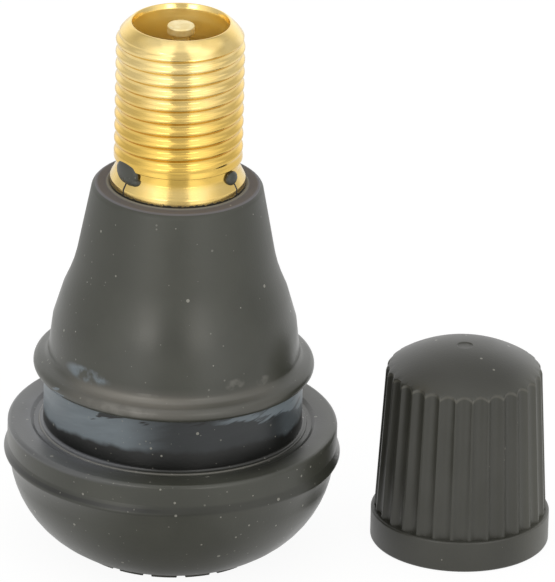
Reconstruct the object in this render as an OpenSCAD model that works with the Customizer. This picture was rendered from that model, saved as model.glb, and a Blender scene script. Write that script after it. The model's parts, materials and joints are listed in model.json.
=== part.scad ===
// Snap-in tyre valve for a tubeless wheel, with its dust cap standing beside it.
// Lengths are in millimetres. The rim seat, which is the top face of the rubber base, lies
// in the plane z = 0. The Z axis is the axis of the stem, and the stem points up.

/* [Rubber base] */
// Widest radius of the base, at the ridge that the mould's parting leaves, before its rounding
base_r = 10.14; // [10.05:0.01:10.3]
// Height of the base, from the standing pads to the rim seat
base_h = 7.9; // [7.5:0.05:9]
// Radius of the flat underside
underside_r = 6.09; // [5.9:0.01:6.5]
// Radius of the arc from the underside up to the ridge
bowl_arc_r = 6.5; // [6:0.05:10]
// Radius of the bowl where the ridge stands out of it
bowl_r = 9.74; // [9.6:0.01:9.85]
// Height of the raised pads that the base stands on
pad_h = 0.25; // [0.2:0.05:0.6]
// Width of a pad along the radius
pad_w = 1.1; // [0.6:0.05:1.6]
// Angle that a pad covers
pad_angle = 15; // [8:1:17]
// Number of pads
pad_count = 18; // [6:1:20]
// Distance from the pads to the edge of the flat underside
pad_margin = 0.23; // [0.05:0.01:0.5]
// Height of the ridge's upper slope, from its widest part to the parting line
ridge_top_h = 0.57; // [0.3:0.01:0.8]
// Height of the ridge's lower slope
ridge_foot_h = 0.7; // [0.4:0.05:1]
// Rounding of the ridge
ridge_edge_r = 0.2; // [0.05:0.05:0.3]
// Radius of the rim above the parting line
rim_r = 9.92; // [9.8:0.01:9.98]
// Height of the rim above the parting line
rim_h = 1.35; // [1:0.05:1.6]
// Rounding of the rim's top edge
rim_edge_r = 0.25; // [0.1:0.05:0.5]

/* [Rubber neck and bell] */
// Radius of the neck that fills the hole in the wheel
neck_r = 7.78; // [7.6:0.01:7.9]
// Height of the neck, from the rim seat to the bead
neck_h = 3.33; // [2.5:0.01:4]
// Depth of the ring groove between the rim seat and the neck
seat_groove_depth = 0.15; // [0.1:0.01:0.4]
// Distance from the widest part of the bead out to the rim seat
seat_margin = 0.04; // [0.02:0.01:0.2]
// Width of the step at the foot of the neck
neck_step_w = 0.29; // [0.1:0.01:0.4]
// Distance from the rim seat down to that step
neck_step_drop = 0.05; // [0.03:0.01:0.09]
// Widest radius of the bead that snaps through the hole
bead_r = 8.43; // [8.4:0.01:8.6]
// Radius of the bead's rounding
bead_arc_r = 0.45; // [0.4:0.01:0.5]
// Slope of the bead's upper face, from upright
bead_angle = 73; // [60:1:80]
// Radius of the hollow between the bead and the bell
bead_hollow_r = 0.4; // [0.1:0.05:0.4]
// Radius at the foot of the bell
bell_r = 7.54; // [7.4:0.01:7.7]
// Height of the plain band between the bead and the bell
bell_foot_h = 0.32; // [0.3:0.01:1]
// Radius of the arc at the shoulder of the bell
bell_arc_r = 9.7; // [6:0.1:10]
// Slope of the bell, from upright
bell_angle = 23.4; // [22:0.1:28]
// Radius of the hollow arc from the bell to the cone
throat_arc_r = 7; // [3:0.1:8]
// Slope of the cone, from upright
cone_angle = 10.5; // [9:0.1:12]
// Height of the rubber above the rim seat
body_h = 15.5; // [15:0.05:18]
// Radius of the cone at its top
top_r = 5.08; // [4.9:0.01:5.3]
// Rounding of the top edge
top_edge_r = 0.45; // [0.1:0.05:0.6]

/* [Stem] */
// Height of the stem's foot above the rim seat
foot_lift = 4.1; // [2:0.05:6]
// Radius of the foot that anchors the stem in the rubber
foot_r = 4.4; // [4.1:0.05:5]
// Height of the foot
foot_h = 1.4; // [0.8:0.05:2]
// Rounding of the foot's edges
foot_edge_r = 0.25; // [0.1:0.05:0.4]
// Radius of the shank
shank_r = 3.5; // [3.3:0.05:3.8]
// Number of grooves round the shank
shank_grooves = 3; // [1:1:4]
// Width of a groove in the shank
shank_groove_w = 1.0; // [0.5:0.05:1.2]
// Depth of a groove in the shank
shank_groove_depth = 0.4; // [0.2:0.05:0.6]
// Radius of the smooth collar
collar_r = 4.05; // [3.95:0.01:4.3]
// Length of the collar inside the rubber
collar_depth = 2.4; // [1:0.05:3]
// Length of the collar above the rubber
collar_show = 0.4; // [0.2:0.05:1]
// Height of the cone above the collar
collar_cone_h = 0.7; // [0.3:0.05:1.2]
// Rounding of the collar's top edge
collar_edge_r = 0.12; // [0.05:0.01:0.3]
// Radius of the relief under the thread
relief_r = 3.66; // [3.5:0.01:3.69]
// Height of the relief under the thread
relief_h = 0.6; // [0.2:0.05:1]
// Outside radius of the pump thread, shown as a plain cylinder
thread_r = 3.85; // [3.85:0.01:3.9]
// Length of the pump thread
thread_h = 7.6; // [7:0.05:12]
// Height of the tapered lip above the thread
lip_h = 0.95; // [0.4:0.05:1.2]
// Outer radius of the lip's flat top
lip_r = 3.02; // [2.98:0.01:3.5]
// Rounding of the lip's outer edge
lip_edge_r = 0.1; // [0.05:0.05:0.3]
// Radius of the mouth
mouth_r = 2.83; // [2.75:0.01:2.9]
// Depth of the mouth
mouth_h = 1.6; // [1:0.05:2]
// Chamfer round the mouth
mouth_edge = 0.12; // [0.05:0.01:0.2]
// Radius of the air passage through the foot of the stem and the base
inlet_r = 1.9; // [1.85:0.01:2.2]

/* [Core plug] */
// Radius of the hole that the core plug screws into, shown as a plain cylinder
core_bore_r = 2.62; // [2.6:0.01:2.7]
// Radial clearance between the plug and its hole
core_clear = 0.05; // [0.02:0.01:0.08]
// Depth of the tang below the mouth of the stem
tang_depth = 2.45; // [2.1:0.05:2.6]
// Height of the tang
tang_h = 1.6; // [1:0.05:2]
// Thickness of the tang
tang_w = 1.7; // [1.5:0.05:2]
// Radius of the tang's rounded ends
tang_r = 2.2; // [2:0.05:2.4]
// Length of the plug's threaded part
plug_h = 4.7; // [3.5:0.05:6]
// Radius of the air passage through the plug
plug_bore_r = 1.45; // [1.3:0.05:1.6]
// Chamfer at the ends of the plug
plug_edge = 0.25; // [0.1:0.05:0.35]
// Height of the ring at the plug's foot that holds the barrel's flange
catch_h = 0.4; // [0.3:0.05:0.8]
// Clearance of the swivel between the plug and the barrel
swivel_gap = 0.05; // [0.03:0.01:0.08]

/* [Core barrel] */
// Radius of the flange that hangs in the plug
flange_r = 2.05; // [1.95:0.01:2.1]
// Thickness of that flange
flange_h = 0.6; // [0.4:0.05:0.8]
// Radius of the neck under that flange
barrel_neck_r = 1.68; // [1.6:0.01:1.75]
// Radius of the shoulder above the gasket
shoulder_r = 2.2; // [2:0.05:2.4]
// Thickness of that shoulder
shoulder_h = 0.25; // [0.2:0.05:0.5]
// Outside radius of the barrel
barrel_r = 1.6; // [1.5:0.01:1.65]
// Rounding of the barrel's foot
barrel_edge_r = 0.15; // [0.05:0.01:0.3]
// Width of the crimp that keeps the gasket up
crimp_w = 0.12; // [0.05:0.01:0.15]
// Height of that crimp
crimp_h = 0.3; // [0.2:0.05:0.5]
// Length of the barrel below the gasket
tail_h = 4.7; // [4:0.05:6]
// Radius of the barrel's bore
barrel_bore_r = 1.15; // [1.1:0.01:1.25]
// Thickness of the ledge that the spring stands on
ledge_h = 0.8; // [0.5:0.05:1.2]
// Radius of the air hole through that ledge
air_hole_r = 0.85; // [0.7:0.01:0.9]

/* [Gasket] */
// Height of the gasket
gasket_h = 1.3; // [1:0.05:1.35]
// Widest radius of the gasket
gasket_r = 2.5; // [2.4:0.01:2.52]
// Slope of the gasket's seat in the stem, from upright
seat_angle = 30; // [26:1:32]
// Distance from the gasket's top down to the top of that seat
seat_drop = 0.1; // [0.05:0.01:0.2]
// Gap between the gasket and its seat
gasket_gap = 0.03; // [0.02:0.01:0.05]

/* [Pin and spring] */
// Radius of the pin
pin_r = 0.5; // [0.4:0.01:0.55]
// Clearance of the pin in the tang
pin_clear = 0.08; // [0.03:0.01:0.1]
// Radius of the pin's head
pin_head_r = 0.82; // [0.7:0.01:1]
// Height of the pin's head
pin_head_h = 0.6; // [0.4:0.05:0.8]
// Rounding of the pin's head
pin_head_edge = 0.14; // [0.05:0.01:0.18]
// Depth of the pin's top below the mouth of the stem
pin_recess = 0.16; // [0:0.01:0.3]
// Thickness of the pin's collar above the spring
pin_collar_h = 0.4; // [0.2:0.05:0.6]
// Clearance of that collar in the barrel
pin_collar_clear = 0.1; // [0.05:0.01:0.2]
// Radius of the rivet head under the cup
rivet_r = 0.8; // [0.65:0.01:1]
// Height of that rivet head
rivet_h = 0.25; // [0.15:0.05:0.4]
// Rounding of that rivet head
rivet_edge_r = 0.1; // [0.05:0.01:0.15]
// Length of the spring between the ledge and the collar
spring_h = 5.5; // [4:0.05:5.8]
// Diameter of the spring's wire
wire_d = 0.28; // [0.2:0.01:0.3]
// Clearance between the spring and the barrel
spring_clear = 0.19; // [0.12:0.01:0.2]
// Number of turns, the closed ones at the ends among them
spring_turns = 7.5; // [6:0.5:9]
// Gap between the closed turns at an end
coil_gap = 0.03; // [0.02:0.01:0.06]
// Gap between the spring's ends and what they bear on
spring_gap = 0.02; // [0.01:0.01:0.04]

/* [Cup and seal] */
// Radius of the cup
cup_r = 1.5; // [1.4:0.01:1.55]
// Thickness of the cup's wall
cup_wall = 0.15; // [0.1:0.01:0.2]
// Thickness of the cup's floor
cup_floor = 0.4; // [0.3:0.05:0.6]
// Height of the cup's wall above its floor
cup_wall_h = 0.6; // [0.3:0.05:0.8]
// Rounding of the cup's lower edge
cup_edge_r = 0.15; // [0.05:0.01:0.3]
// Thickness of the rubber seal in the cup
seal_h = 1.0; // [0.9:0.05:1.4]

/* [Dust cap] */
// Place of the cap's axis to the right of the stem
cap_x = 17.47; // [16:0.01:30]
// Place of the cap's axis behind the stem
cap_y = 1.32; // [-10:0.01:10]
// Radius of the plain rim
cap_rim_r = 5.39; // [5.3:0.01:5.6]
// Height of the plain rim
cap_rim_h = 1.97; // [1.2:0.01:3]
// Rounding of the rim's edges
cap_rim_edge = 0.15; // [0.05:0.01:0.25]
// Radius of the fluted wall at the rim
cap_foot_r = 5.18; // [5.1:0.01:5.25]
// Radius of the fluted wall at the dome
cap_top_r = 4.7; // [4.6:0.01:4.8]
// Height of the fluted wall's top corner
cap_wall_h = 11.05; // [10.9:0.05:12]
// Rounding between the wall and the dome
cap_shoulder_r = 0.45; // [0.2:0.05:0.6]
// Height of the cap
cap_h = 12.6; // [12.4:0.05:13.5]
// Number of flutes round the wall
flute_count = 30; // [24:1:32]
// Radius of the flute's hollow
flute_r = 0.6; // [0.55:0.01:0.7]
// Depth of a flute
flute_depth = 0.2; // [0.1:0.01:0.24]
// Distance that the flutes run on past the wall's top corner, where they come out on the shoulder
flute_over = 0.25; // [0.2:0.05:0.4]
// Radius of the threaded hole, shown as a plain cylinder
cap_bore_r = 3.92; // [3.9:0.01:4]
// Depth of the threaded hole
cap_bore_h = 8.6; // [8.4:0.05:9]
// Chamfer at the mouth of the cap
cap_mouth_edge = 0.35; // [0.1:0.05:0.5]
// Radius of the recess above the threaded hole
cap_recess_r = 3.1; // [2.5:0.05:3.4]
// Depth of that recess
cap_recess_h = 1.5; // [0.5:0.05:1.6]
// Rounding at the end of that recess
cap_recess_edge_r = 0.4; // [0.1:0.05:0.5]

/* [Hidden] */

$fn = 96;

// Largest turn between two points of an arc
arc_step = 6;

// Heights of the rubber body
stand_z = -base_h;
under_z = stand_z + pad_h;
parting_z = -rim_h;
ridge_z = parting_z - ridge_top_h;
bowl_z = ridge_z - ridge_foot_h;
seat_in_r = bead_r + seat_margin;
neck_step_r = neck_r + neck_step_w;
bead_centre_r = bead_r - bead_arc_r;
bead_centre_z = neck_h + bead_arc_r;
bead_end_r = bead_centre_r + bead_arc_r * cos(bead_angle);
bead_end_z = bead_centre_z + bead_arc_r * sin(bead_angle);
hollow_z = bead_end_z + (bead_end_r - bell_r) / tan(bead_angle);
bell_corner_z = hollow_z + bell_foot_h + bell_arc_r * tan(bell_angle / 2);
bell_slope = tan(bell_angle);
cone_slope = tan(cone_angle);
throat_rise = bell_r + bell_slope * bell_corner_z - top_r - cone_slope * body_h;
throat_z = throat_rise / (bell_slope - cone_slope);
throat_r = top_r + cone_slope * (body_h - throat_z);

// Heights of the stem
foot_z = foot_lift;
foot_top_z = foot_z + foot_h;
collar_z = body_h - collar_depth;
collar_top_z = body_h + collar_show;
relief_z = collar_top_z + collar_cone_h;
thread_z = relief_z + relief_h;
thread_top_z = thread_z + thread_h;
stem_top_z = thread_top_z + lip_h;
shank_pitch = (collar_z - foot_top_z) / shank_grooves;

// Heights of the valve core, from the tang down
tang_top_z = stem_top_z - tang_depth;
plug_top_z = tang_top_z - tang_h;
plug_z = plug_top_z - plug_h;
flange_z = plug_z + catch_h + swivel_gap;
flange_top_z = flange_z + flange_h;
shoulder_top_z = plug_z - swivel_gap;
gasket_top_z = shoulder_top_z - shoulder_h;
gasket_z = gasket_top_z - gasket_h;
barrel_z = gasket_z - tail_h;
ledge_z = barrel_z + ledge_h;
pin_collar_z = ledge_z + spring_h;
seal_z = barrel_z - seal_h;
cup_z = seal_z - cup_floor;
rivet_z = cup_z - rivet_h;
pin_top_z = stem_top_z - pin_recess;
pin_head_z = pin_top_z - pin_head_h;

// Radii of the valve core that follow from their neighbours
plug_r = core_bore_r - core_clear;
pin_collar_r = barrel_bore_r - pin_collar_clear;
spring_r = barrel_bore_r - spring_clear - wire_d / 2;
seal_r = cup_r - cup_wall;

// Seat of the gasket in the stem
seat_slope = tan(seat_angle);
seat_top_z = gasket_top_z - seat_drop;
seat_z = seat_top_z - (core_bore_r - inlet_r) / seat_slope;
gasket_inset = gasket_gap / cos(seat_angle);
gasket_foot_r = core_bore_r - gasket_inset - seat_slope * (seat_top_z - gasket_z);
gasket_edge_z = seat_top_z - (core_bore_r - gasket_inset - gasket_r) / seat_slope;

// Dome and flutes of the cap
dome_h = cap_h - cap_wall_h;
dome_arc_r = (pow(cap_top_r, 2) + pow(dome_h, 2)) / (2 * dome_h);
dome_edge_angle = acos(cap_top_r / dome_arc_r);
cap_taper = atan((cap_foot_r - cap_top_r) / (cap_wall_h - cap_rim_h));
flute_top_z = cap_wall_h + flute_over;

// Depth that a piece is sunk where it grows out of its own body
root = 0.3;

function spot(p) = [p[0], p[1]];
function unit(v) = v / norm(v);
function around(path, i) = path[(i + len(path)) % len(path)];
function rounding(p) = len(p) > 2 ? p[2] : 0;

// Half of the angle between the two sides that meet at a corner
function half_angle(path, i) =
    let (
        here = spot(around(path, i)),
        before = unit(spot(around(path, i - 1)) - here),
        after = unit(spot(around(path, i + 1)) - here)
    )
    acos(before * after) / 2;

// Length of side that a corner's rounding takes up
function reach(path, i) =
    let (r = rounding(around(path, i)))
    r > 0 ? r / tan(half_angle(path, i)) : 0;

// Share of the wanted rounding that the sides have room for
function room(path, i) =
    let (
        here = spot(around(path, i)),
        before = norm(spot(around(path, i - 1)) - here),
        after = norm(spot(around(path, i + 1)) - here),
        own = reach(path, i)
    )
    min(1, before / (own + reach(path, i - 1)), after / (own + reach(path, i + 1)));

// Points of a circular arc
function arc(centre, r, from, to) =
    let (steps = max(2, ceil(abs(to - from) / arc_step)))
    [
        for (i = [0 : steps])
            let (angle = from + (to - from) * i / steps)
            centre + r * [cos(angle), sin(angle)]
    ];

// Arc of radius r that bulges out to the right on the way from p to q
function arc_between(p, q, r) =
    let (
        way = q - p,
        left = [-way[1], way[0]] / norm(way),
        centre = (p + q) / 2 + left * sqrt(pow(r, 2) - pow(norm(way) / 2, 2)),
        from = atan2(p[1] - centre[1], p[0] - centre[0]),
        turn = 2 * asin(norm(way) / 2 / r)
    )
    arc(centre, r, from, from + turn);

// Points that take the place of one corner
function corner(path, i) =
    let (
        r = rounding(path[i]) * room(path, i),
        here = spot(path[i]),
        before = unit(spot(around(path, i - 1)) - here),
        after = unit(spot(around(path, i + 1)) - here),
        half = half_angle(path, i),
        centre = here + unit(before + after) * r / sin(half),
        start = here + before * r / tan(half) - centre,
        from = atan2(start[1], start[0]),
        turn = (cross(before, after) > 0 ? -1 : 1) * (180 - 2 * half)
    )
    arc(centre, r, from, from + turn);

// Closed outline of [radius, height] corners, each with its rounding as an optional third value
function rounded(path) =
    [for (i = [0 : len(path) - 1]) each (rounding(path[i]) > 0 ? corner(path, i) : [spot(path[i])])];

module revolve(path) {
    rotate_extrude() polygon(rounded(path));
}

// Outside of the stem, from its foot up to the lip
function stem_side() = concat(
    [
        [foot_r, foot_z, foot_edge_r],
        [foot_r, foot_top_z, foot_edge_r],
        [shank_r, foot_top_z],
    ],
    [
        for (i = [0 : shank_grooves - 1])
            let (z = foot_top_z + (i + 0.5) * shank_pitch)
            each [
                [shank_r, z - shank_groove_w / 2],
                [shank_r - shank_groove_depth, z - shank_groove_w / 2],
                [shank_r - shank_groove_depth, z + shank_groove_w / 2],
                [shank_r, z + shank_groove_w / 2],
            ]
    ],
    [
        [shank_r, collar_z],
        [collar_r, collar_z],
        [collar_r, collar_top_z, collar_edge_r],
        [relief_r, relief_z],
        [relief_r, thread_z],
        [thread_r, thread_z],
        [thread_r, thread_top_z],
        [lip_r, stem_top_z, lip_edge_r],
    ]
);

// Inside of the stem, from the mouth down to the air passage
function stem_bore() = [
    [mouth_r + mouth_edge, stem_top_z],
    [mouth_r, stem_top_z - mouth_edge],
    [mouth_r, stem_top_z - mouth_h],
    [core_bore_r, stem_top_z - mouth_h - (mouth_r - core_bore_r)],
    [core_bore_r, seat_top_z],
    [inlet_r, seat_z],
    [inlet_r, foot_z],
];

// Outside of the rubber, from the air inlet under the base up to the top
function rubber_side() = concat(
    [[inlet_r, under_z]],
    arc_between([underside_r, under_z], [bowl_r, bowl_z], bowl_arc_r),
    [
        [base_r, ridge_z, ridge_edge_r],
        [rim_r, parting_z],
        [rim_r, 0, rim_edge_r],
        [seat_in_r, 0],
        [seat_in_r, -seat_groove_depth],
        [neck_step_r, -seat_groove_depth],
        [neck_step_r, -neck_step_drop],
        [neck_r, -neck_step_drop],
        [neck_r, neck_h],
    ],
    arc([bead_centre_r, bead_centre_z], bead_arc_r, -90, bead_angle),
    [
        [bell_r, hollow_z, bead_hollow_r],
        [bell_r, bell_corner_z, bell_arc_r],
        [throat_r, throat_z, throat_arc_r],
        [top_r, body_h, top_edge_r],
        [inlet_r, body_h],
    ]
);

// Moulded rubber, bonded all round to the stem that stands in it
module rubber_body() {
    color("#4a4a44") {
        rotate_extrude() difference() {
            polygon(rounded(rubber_side()));
            polygon(rounded(concat([[0, foot_z]], stem_side(), [[0, stem_top_z]])));
        }
        for (i = [0 : pad_count - 1])
            rotate(i * 360 / pad_count)
                rotate_extrude(angle = pad_angle)
                    translate([underside_r - pad_margin - pad_w, stand_z])
                        square([pad_w, pad_h + root]);
    }
}

// Turned brass, with the core's seat inside
module stem() {
    color("#d9b04a") revolve(concat(stem_side(), stem_bore()));
}

// Brass plug: a threaded ring that holds the barrel's flange, and the tang across its top
module core_plug() {
    groove_z = flange_z - swivel_gap;
    groove_top_z = flange_top_z + swivel_gap;
    catch_r = barrel_neck_r + swivel_gap;
    groove_r = flange_r + swivel_gap;
    color("#c89a3c") difference() {
        union() {
            revolve([
                [catch_r, plug_z],
                [plug_r - plug_edge, plug_z],
                [plug_r, plug_z + plug_edge],
                [plug_r, plug_top_z - plug_edge],
                [plug_r - plug_edge, plug_top_z],
                [plug_bore_r, plug_top_z],
                [plug_bore_r, groove_top_z],
                [groove_r, groove_top_z],
                [groove_r, groove_z],
                [catch_r, groove_z],
            ]);
            intersection() {
                translate([0, 0, plug_top_z - root]) cylinder(r = tang_r, h = tang_h + root);
                translate([-tang_r, -tang_w / 2, plug_top_z - root])
                    cube([2 * tang_r, tang_w, tang_h + root]);
            }
        }
        translate([0, 0, plug_top_z - 2 * root]) cylinder(r = pin_r + pin_clear, h = tang_h + 3 * root);
    }
}

// Brass barrel that hangs in the plug by its flange
module core_barrel() {
    color("#c8a050") revolve([
        [air_hole_r, barrel_z],
        [barrel_r, barrel_z, barrel_edge_r],
        [barrel_r, gasket_z - crimp_h],
        [barrel_r + crimp_w, gasket_z - crimp_h / 2],
        [barrel_r + crimp_w, gasket_z],
        [barrel_r, gasket_z],
        [barrel_r, gasket_top_z],
        [shoulder_r, gasket_top_z],
        [shoulder_r, shoulder_top_z],
        [barrel_neck_r, shoulder_top_z],
        [barrel_neck_r, flange_z],
        [flange_r, flange_z],
        [flange_r, flange_top_z],
        [barrel_bore_r, flange_top_z],
        [barrel_bore_r, ledge_z],
        [air_hole_r, ledge_z],
    ]);
}

// Gasket round the barrel, with the cone that closes on the stem's seat
module barrel_gasket() {
    color("#b03028") revolve([
        [barrel_r, gasket_z],
        [gasket_foot_r, gasket_z],
        [gasket_r, gasket_edge_z],
        [gasket_r, gasket_top_z],
        [barrel_r, gasket_top_z],
    ]);
}

// Brass pin, headed at the top, with a collar over the spring and a rivet under the cup
module core_pin() {
    color("#d8b860") revolve([
        [0, rivet_z],
        [rivet_r, rivet_z, rivet_edge_r],
        [rivet_r, cup_z],
        [pin_r, cup_z],
        [pin_r, pin_collar_z],
        [pin_collar_r, pin_collar_z],
        [pin_collar_r, pin_collar_z + pin_collar_h],
        [pin_r, pin_collar_z + pin_collar_h],
        [pin_r, pin_head_z],
        [pin_head_r, pin_head_z, pin_head_edge],
        [pin_head_r, pin_top_z, pin_head_edge],
        [0, pin_top_z],
    ]);
}

// Height of the wire's centre after a number of turns, with one closed turn at each end
function wire_z(turn) =
    let (
        closed = wire_d + coil_gap,
        low = ledge_z + spring_gap + wire_d / 2,
        high = pin_collar_z - spring_gap - wire_d / 2,
        open_turns = spring_turns - 2,
        open_h = high - low - 2 * closed
    )
    low
    + closed * min(turn, 1)
    + open_h * min(max(turn - 1, 0), open_turns) / open_turns
    + closed * max(turn - 1 - open_turns, 0);

// Round wire wound into a helix that stands on the ledge round the pin
module core_spring() {
    sides = 8;
    turn_steps = 14;
    rings = ceil(spring_turns * turn_steps);
    points = [
        for (i = [0 : rings], k = [0 : sides - 1])
            let (
                turn = spring_turns * i / rings,
                r = spring_r + wire_d / 2 * cos(360 * k / sides),
                z = wire_z(turn) + wire_d / 2 * sin(360 * k / sides)
            )
            [r * cos(360 * turn), r * sin(360 * turn), z]
    ];
    skin = [
        for (i = [0 : rings - 1], k = [0 : sides - 1])
            let (
                a = i * sides + k,
                b = i * sides + (k + 1) % sides
            )
            each [[a, b, a + sides], [b, b + sides, a + sides]]
    ];
    first_end = [for (k = [sides - 1 : -1 : 0]) k];
    last_end = [for (k = [0 : sides - 1]) rings * sides + k];
    color("#b8bcc0") polyhedron(points, concat(skin, [first_end, last_end]));
}

// Brass cup, riveted on the pin
module plunger_cup() {
    color("#c8a050") revolve([
        [pin_r, cup_z],
        [cup_r, cup_z, cup_edge_r],
        [cup_r, seal_z + cup_wall_h],
        [seal_r, seal_z + cup_wall_h],
        [seal_r, seal_z],
        [pin_r, seal_z],
    ]);
}

// Rubber washer in the cup, closed against the foot of the barrel
module seat_seal() {
    color("#2c2c2c") revolve([
        [pin_r, seal_z],
        [seal_r, seal_z],
        [seal_r, barrel_z],
        [pin_r, barrel_z],
    ]);
}

// One flute: a hollow that follows the slope of the wall up to its flat end
module flute() {
    length = (flute_top_z - cap_rim_h + root) / cos(cap_taper);
    translate([cap_foot_r, 0, cap_rim_h])
        rotate([0, -cap_taper, 0])
            translate([flute_r - flute_depth, 0, -root])
                cylinder(r = flute_r, h = length);
}

// Moulded plastic cap, open at the bottom
module dust_cap() {
    color("#53534d") translate([cap_x, cap_y, stand_z]) difference() {
        union() {
            difference() {
                revolve(concat(
                    [
                        [0, 0],
                        [cap_foot_r, 0],
                        [cap_foot_r, cap_rim_h],
                        [cap_top_r, cap_wall_h, cap_shoulder_r],
                    ],
                    [
                        for (p = arc([0, cap_h - dome_arc_r], dome_arc_r, dome_edge_angle, 90))
                            if (p[0] < cap_top_r - cap_shoulder_r) p
                    ]
                ));
                for (i = [0 : flute_count - 1])
                    rotate(i * 360 / flute_count) flute();
            }
            revolve([
                [0, 0],
                [cap_rim_r, 0, cap_rim_edge],
                [cap_rim_r, cap_rim_h, cap_rim_edge],
                [0, cap_rim_h],
            ]);
        }
        revolve([
            [0, -root],
            [cap_bore_r + cap_mouth_edge, -root],
            [cap_bore_r + cap_mouth_edge, 0],
            [cap_bore_r, cap_mouth_edge],
            [cap_bore_r, cap_bore_h],
            [cap_recess_r, cap_bore_h],
            [cap_recess_r, cap_bore_h + cap_recess_h, cap_recess_edge_r],
            [0, cap_bore_h + cap_recess_h],
        ]);
    }
}

rubber_body();
stem();
core_plug();
core_barrel();
barrel_gasket();
core_pin();
core_spring();
plunger_cup();
seat_seal();
dust_cap();
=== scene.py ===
"""A snap-in tyre valve and its dust cap: the looks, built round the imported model."""
import json
import math

import bmesh
import bpy
from mathutils import Matrix, Vector
from mathutils.geometry import intersect_point_line


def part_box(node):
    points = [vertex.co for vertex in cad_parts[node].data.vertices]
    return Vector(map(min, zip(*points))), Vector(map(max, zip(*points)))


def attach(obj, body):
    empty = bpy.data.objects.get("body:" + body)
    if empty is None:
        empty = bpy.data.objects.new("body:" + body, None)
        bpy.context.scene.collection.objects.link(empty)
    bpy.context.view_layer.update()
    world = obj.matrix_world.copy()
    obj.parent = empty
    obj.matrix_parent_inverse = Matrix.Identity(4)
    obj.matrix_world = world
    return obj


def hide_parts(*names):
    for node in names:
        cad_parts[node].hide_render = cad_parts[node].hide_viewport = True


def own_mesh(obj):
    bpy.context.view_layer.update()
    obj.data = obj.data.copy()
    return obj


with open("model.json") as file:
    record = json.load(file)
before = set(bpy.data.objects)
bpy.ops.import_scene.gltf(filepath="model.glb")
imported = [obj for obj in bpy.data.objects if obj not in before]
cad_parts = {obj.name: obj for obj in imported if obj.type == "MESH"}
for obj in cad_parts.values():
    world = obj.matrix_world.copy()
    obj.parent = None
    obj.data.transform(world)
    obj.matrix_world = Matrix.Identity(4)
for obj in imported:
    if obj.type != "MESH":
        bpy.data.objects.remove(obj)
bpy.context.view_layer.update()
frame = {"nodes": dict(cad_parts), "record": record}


# Stem.
# A turned brass tube, bonded into the rubber at its foot, with the hole for the valve core inside.
# The pump thread is cut with a die, so it runs out above a plain relief and a coned collar.
MM = 0.001


def mount(name):
    """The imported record's mount of that name."""
    return next(entry for entry in frame["record"]["mounts"] if entry["name"] == name)


stem_low, stem_high = (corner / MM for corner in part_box("stem"))
foot_z = stem_low.z
foot_r = stem_high.x
foot_top_z = foot_z + 1.4
foot_edge = 0.25
shank_r = 3.5
shank_grooves = 3
shank_groove_w = 1.0
shank_groove_depth = 0.4
rubber_top_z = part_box("rubber_body")[1].z / MM
collar_z = rubber_top_z - 2.4
collar_r = 4.05
collar_top_z = rubber_top_z + 0.4
relief_z = collar_top_z + 0.7
relief_r = 3.66
ring_z = relief_z + 0.55
thread_r = mount("pump_thread")["dims"]["r_mm"]
thread_top_z = mount("pump_thread")["pos_m"][2] / MM + mount("pump_thread")["dims"]["length_mm"] / 2
lip_r = 3.02
stem_top_z = stem_high.z
mouth_r = 2.83
mouth_edge = 0.1
mouth_edge_h = 0.3
mouth_foot_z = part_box("core_plug")[1].z / MM
core_bore_r = 2.62
seat_top_z = rubber_top_z + 1.1
seat_z = rubber_top_z - 0.15
inlet_r = 1.9

thread_foot = (thread_r, ring_z, 0.06)
thread_head = (thread_r, thread_top_z)
shank_pitch = (collar_z - foot_top_z) / shank_grooves
stem_side = [
    (inlet_r, foot_z),
    (foot_r, foot_z, foot_edge),
    (foot_r, foot_top_z, foot_edge),
    (shank_r, foot_top_z),
]
for groove in range(shank_grooves):
    groove_z = foot_top_z + (groove + 0.5) * shank_pitch
    stem_side += [
        (shank_r, groove_z - shank_groove_w / 2),
        (shank_r - shank_groove_depth, groove_z - shank_groove_w / 2),
        (shank_r - shank_groove_depth, groove_z + shank_groove_w / 2),
        (shank_r, groove_z + shank_groove_w / 2),
    ]
stem_side += [(shank_r, collar_z), (collar_r, collar_z)]
stem_top = [
    (collar_r, collar_top_z, 0.12),
    (relief_r, relief_z, 0.08),
    (relief_r, ring_z, 0.05),
    thread_foot,
    thread_head,
    (lip_r, stem_top_z, 0.06),
    (mouth_r + mouth_edge, stem_top_z, 0.04),
    (mouth_r, stem_top_z - mouth_edge_h, 0.3),
    (core_bore_r, mouth_foot_z, 0.5),
    (core_bore_r, seat_top_z),
    (inlet_r, seat_z),
]

NEAR = 1e-4
ROUNDING_STEP = math.radians(11)


def pick(piece, test):
    """Selects, in edit mode, only the vertices whose place passes the test, and what lies between."""
    mesh = bmesh.from_edit_mesh(piece.data)
    for part in (*mesh.verts, *mesh.edges, *mesh.faces):
        part.select = False
    for vertex in mesh.verts:
        vertex.select = test(vertex.co)
    mesh.select_flush(True)
    bmesh.update_edit_mesh(piece.data)


def on_side(place, start, end):
    """True where a place lies on the straight side from start to end."""
    foot, share = intersect_point_line(place, start, end)
    return (foot - place).length < NEAR and -NEAR < share < 1 + NEAR


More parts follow.
